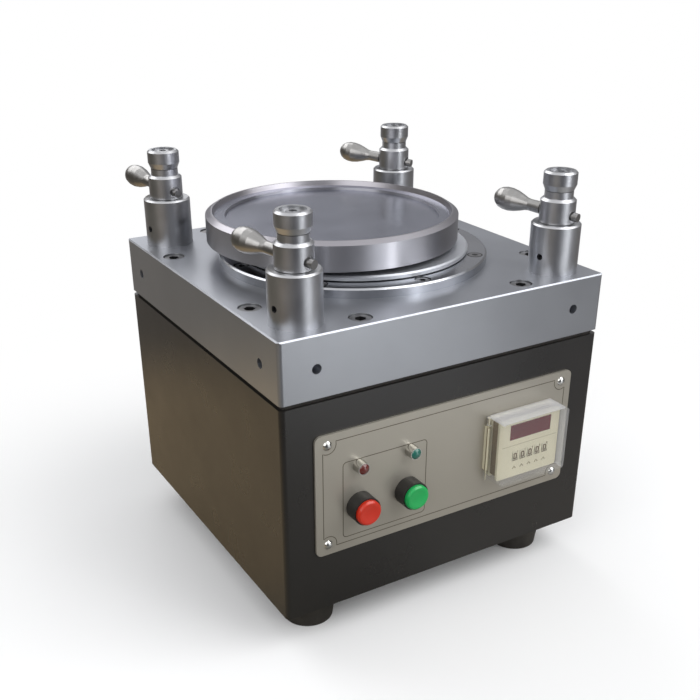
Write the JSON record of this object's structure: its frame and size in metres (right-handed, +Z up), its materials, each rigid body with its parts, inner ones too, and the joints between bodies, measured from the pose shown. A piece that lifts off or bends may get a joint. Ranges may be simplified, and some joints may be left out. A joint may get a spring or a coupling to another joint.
{
  "type": "fiber optic polishing machine",
  "caption": "Bench machine with a black cabinet, a thick grey deck, an eccentric round polishing platen and a sprung clamp post with a lever at each corner.",
  "frame": {"origin": "on the bench under the middle of the machine's outline, levers and buttons included", "axes": "+Z up, -Y out of the control panel, +X to the operator's right"},
  "size_m": [0.23, 0.2698, 0.2661],
  "materials": {
    "black_rubber": "matt black rubber",
    "cabinet_paint": "black semi-gloss paint on sheet steel",
    "zinc_sheet": "zinc-plated sheet",
    "plate_aluminium": "ground grey plate with a satin finish",
    "dark_screw": "dark socket-head screws",
    "polished_steel": "polished turned steel",
    "turned_steel": "turned steel",
    "gear_steel": "machined gear steel",
    "gear_brass": "machined brass",
    "motor_paint": "dark grey motor paint",
    "panel_metal": "anodised panel, warm silver",
    "lamp_chrome": "plated lamp holder",
    "lamp_glass": "unlit lamp lens",
    "black_plastic": "black moulded plastic",
    "red_plastic": "red button cap",
    "green_plastic": "green button cap",
    "cream_plastic": "cream moulded plastic",
    "display_glass": "dark red display window",
    "clear_cover": "clear moulded cover",
    "digit_plastic": "cream digit wheels",
    "platen_metal": "turned platen with a bright crest",
    "spring_steel": "spring wire"
  },
  "bodies": {
    "frame": {"rubber_feet": "black_rubber", "cabinet_shell": "cabinet_paint", "base_plate": "zinc_sheet", "gasket": "black_rubber", "top_plate": "plate_aluminium", "deck_screws": "dark_screw", "flange_ring": "polished_steel", "flange_screws": "dark_screw", "main_bearing": "turned_steel", "ring_gear": "gear_steel", "bridge_plate": "plate_aluminium", "lower_bearing": "turned_steel", "motor_pillars": "turned_steel", "gear_motor": "motor_paint", "inner_screws": "dark_screw", "control_panel": "panel_metal", "panel_screws": "polished_steel", "lamp_holders": "lamp_chrome", "lamp_lenses": "lamp_glass", "button_bezels": "black_plastic", "timer_case": "cream_plastic", "timer_display": "display_glass", "power_inlet": "black_plastic", "post_sleeves": "turned_steel"},
    "stop_button": {"stop_cap": "red_plastic"},
    "start_button": {"start_cap": "green_plastic"},
    "timer_lid": {"timer_cover": "clear_cover"},
    "rotor": {"carrier": "polished_steel", "platen_bearing": "turned_steel", "carrier_spindle": "turned_steel", "shaft_coupling": "plate_aluminium", "motor_shaft": "turned_steel"},
    "platen_body": {"platen": "platen_metal", "platen_shaft": "turned_steel", "planet_gear": "gear_brass"},
    "digit_1": {"timer_wheel_1": "digit_plastic"},
    "digit_2": {"timer_wheel_2": "digit_plastic"},
    "digit_3": {"timer_wheel_3": "digit_plastic"},
    "digit_4": {"timer_wheel_4": "digit_plastic"},
    "digit_5": {"timer_wheel_5": "digit_plastic"},
    "lift_fl": {"post_guide_fl": "turned_steel", "post_spring_fl": "spring_steel"},
    "head_fl": {"post_spindle_fl": "turned_steel", "post_lever_fl": "polished_steel"},
    "knob_fl": {"post_knob_fl": "turned_steel"},
    "lift_fr": {"post_guide_fr": "turned_steel", "post_spring_fr": "spring_steel"},
    "head_fr": {"post_spindle_fr": "turned_steel", "post_lever_fr": "polished_steel"},
    "knob_fr": {"post_knob_fr": "turned_steel"},
    "lift_bl": {"post_guide_bl": "turned_steel", "post_spring_bl": "spring_steel"},
    "head_bl": {"post_spindle_bl": "turned_steel", "post_lever_bl": "polished_steel"},
    "knob_bl": {"post_knob_bl": "turned_steel"},
    "lift_br": {"post_guide_br": "turned_steel", "post_spring_br": "spring_steel"},
    "head_br": {"post_spindle_br": "turned_steel", "post_lever_br": "polished_steel"},
    "knob_br": {"post_knob_br": "turned_steel"}
  },
  "joints": [
    {"name": "carrier_spin", "type": "hinge", "parent": "frame", "child": "rotor", "pos_m": [0, -0.00385, 0.2035], "axis": [0, 0, 1], "continuous": true},
    {"name": "platen_spin", "type": "hinge", "parent": "rotor", "child": "platen_body", "pos_m": [-0.0099, 0.00605, 0.2035], "axis": [0, 0, 1], "continuous": true},
    {"name": "stop_press", "type": "slide", "parent": "frame", "child": "stop_button", "axis": [0, 1, 0], "range_m": [0, 0.002], "stiffness_N_per_m": 600, "springref_m": -0.001},
    {"name": "start_press", "type": "slide", "parent": "frame", "child": "start_button", "axis": [0, 1, 0], "range_m": [0, 0.002], "stiffness_N_per_m": 600, "springref_m": -0.001},
    {"name": "timer_lid_swing", "type": "hinge", "parent": "frame", "child": "timer_lid", "pos_m": [0.0273, -0.12275, 0.1042], "axis": [0, 0, -1], "range_deg": [0, 90]},
    {"name": "digit_1_turn", "type": "hinge", "parent": "frame", "child": "digit_1", "pos_m": [0.04375, -0.1231, 0.0983], "axis": [1, 0, 0], "continuous": true},
    {"name": "digit_2_turn", "type": "hinge", "parent": "frame", "child": "digit_2", "pos_m": [0.0498, -0.1231, 0.0983], "axis": [1, 0, 0], "continuous": true},
    {"name": "digit_3_turn", "type": "hinge", "parent": "frame", "child": "digit_3", "pos_m": [0.05585, -0.1231, 0.0983], "axis": [1, 0, 0], "continuous": true},
    {"name": "digit_4_turn", "type": "hinge", "parent": "frame", "child": "digit_4", "pos_m": [0.0619, -0.1231, 0.0983], "axis": [1, 0, 0], "continuous": true},
    {"name": "digit_5_turn", "type": "hinge", "parent": "frame", "child": "digit_5", "pos_m": [0.06795, -0.1231, 0.0983], "axis": [1, 0, 0], "continuous": true},
    {"name": "lift_fl", "type": "slide", "parent": "frame", "child": "lift_fl", "axis": [0, 0, 1], "range_m": [0, 0.004], "stiffness_N_per_m": 2500, "springref_m": -0.002, "deforming": ["post_spring_fl"]},
    {"name": "lever_fl_swing", "type": "hinge", "parent": "lift_fl", "child": "head_fl", "pos_m": [-0.0922, -0.09605, 0.2035], "axis": [0, 0, 1], "continuous": true},
    {"name": "knob_fl_turn", "type": "hinge", "parent": "head_fl", "child": "knob_fl", "pos_m": [-0.0922, -0.09605, 0.2661], "axis": [0, 0, 1], "range_deg": [-720, 720]},
    {"name": "lift_fr", "type": "slide", "parent": "frame", "child": "lift_fr", "axis": [0, 0, 1], "range_m": [0, 0.004], "stiffness_N_per_m": 2500, "springref_m": -0.002, "deforming": ["post_spring_fr"]},
    {"name": "lever_fr_swing", "type": "hinge", "parent": "lift_fr", "child": "head_fr", "pos_m": [0.0922, -0.09605, 0.2035], "axis": [0, 0, 1], "continuous": true},
    {"name": "knob_fr_turn", "type": "hinge", "parent": "head_fr", "child": "knob_fr", "pos_m": [0.0922, -0.09605, 0.2661], "axis": [0, 0, 1], "range_deg": [-720, 720]},
    {"name": "lift_bl", "type": "slide", "parent": "frame", "child": "lift_bl", "axis": [0, 0, 1], "range_m": [0, 0.004], "stiffness_N_per_m": 2500, "springref_m": -0.002, "deforming": ["post_spring_bl"]},
    {"name": "lever_bl_swing", "type": "hinge", "parent": "lift_bl", "child": "head_bl", "pos_m": [-0.0922, 0.08835, 0.2035], "axis": [0, 0, 1], "continuous": true},
    {"name": "knob_bl_turn", "type": "hinge", "parent": "head_bl", "child": "knob_bl", "pos_m": [-0.0922, 0.08835, 0.2661], "axis": [0, 0, 1], "range_deg": [-720, 720]},
    {"name": "lift_br", "type": "slide", "parent": "frame", "child": "lift_br", "axis": [0, 0, 1], "range_m": [0, 0.004], "stiffness_N_per_m": 2500, "springref_m": -0.002, "deforming": ["post_spring_br"]},
    {"name": "lever_br_swing", "type": "hinge", "parent": "lift_br", "child": "head_br", "pos_m": [0.0922, 0.08835, 0.2035], "axis": [0, 0, 1], "continuous": true},
    {"name": "knob_br_turn", "type": "hinge", "parent": "head_br", "child": "knob_br", "pos_m": [0.0922, 0.08835, 0.2661], "axis": [0, 0, 1], "range_deg": [-720, 720]}
  ],
  "couplings": [
    {"joint": "platen_spin", "follows": "carrier_spin", "ratio": -1.875}
  ]
}
